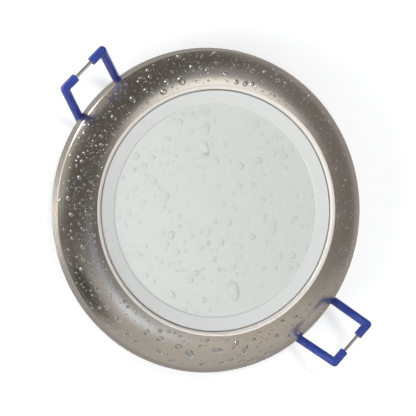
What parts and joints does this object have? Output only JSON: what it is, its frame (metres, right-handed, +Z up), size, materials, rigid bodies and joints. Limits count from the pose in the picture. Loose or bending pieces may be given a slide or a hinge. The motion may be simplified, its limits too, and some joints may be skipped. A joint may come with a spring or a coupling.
{
  "type": "soffit downlight",
  "caption": "Round recessed lamp with a domed metal trim, an opal lens, a finned housing and sprung wire clips that grip the soffit board.",
  "frame": {"origin": "centre of the plane where the rim of the trim seats against the soffit board", "axes": "+Z points up into the soffit, so the lamp shines towards -Z; X runs through both clips, with clip a at +X"},
  "size_m": [0.1458, 0.12, 0.0533],
  "materials": {
    "satin_nickel": "die-cast, satin nickel plated",
    "opal_acrylic": "opal, light-diffusing, satin face",
    "silicone": "moulded silicone",
    "cast_aluminium": "die-cast, fine-textured grey powder coat",
    "foam_seal": "closed-cell foam",
    "stainless": "stainless steel",
    "spring_wire": "bright spring steel wire",
    "blue_vinyl": "soft vinyl tube, satin",
    "white_plastic": "white, high reflectance",
    "circuit_board": "aluminium core board with white solder mask",
    "led_package": "white package with yellow phosphor",
    "thermal_pad": "soft silicone sheet",
    "black_nylon": "moulded nylon"
  },
  "bodies": {
    "lamp": {"trim_ring": "satin_nickel", "diffuser_lens": "opal_acrylic", "lens_gasket_front": "silicone", "lens_gasket_rear": "silicone", "heatsink_housing": "cast_aluminium", "soffit_seal": "foam_seal", "trim_screws": "stainless", "reflector": "white_plastic", "led_board": "circuit_board", "led_chips": "led_package", "wire_terminal": "white_plastic", "thermal_pad": "thermal_pad", "board_screws": "stainless", "gland_body": "black_nylon", "gland_cap": "black_nylon", "gland_ring": "silicone", "gland_seal": "silicone", "clip_a_bracket": "stainless", "clip_a_rivets": "stainless", "clip_a_pin": "stainless", "clip_a_pin_retainer": "stainless", "clip_a_coils": "spring_wire", "clip_b_bracket": "stainless", "clip_b_rivets": "stainless", "clip_b_pin": "stainless", "clip_b_pin_retainer": "stainless", "clip_b_coils": "spring_wire"},
    "clip_a": {"clip_a_wire": "spring_wire", "clip_a_sleeves": "blue_vinyl"},
    "clip_b": {"clip_b_wire": "spring_wire", "clip_b_sleeves": "blue_vinyl"}
  },
  "joints": [
    {"name": "clip_a_hinge", "type": "hinge", "parent": "lamp", "child": "clip_a", "pos_m": [0.0494, 0, 0.01855], "axis": [0, -1, 0], "range_deg": [0, 155], "stiffness_Nm_per_rad": 0.08, "springref_deg": -34.38},
    {"name": "clip_b_hinge", "type": "hinge", "parent": "lamp", "child": "clip_b", "pos_m": [-0.0494, 0, 0.01855], "axis": [0, 1, 0], "range_deg": [0, 155], "stiffness_Nm_per_rad": 0.08, "springref_deg": -34.38}
  ]
}
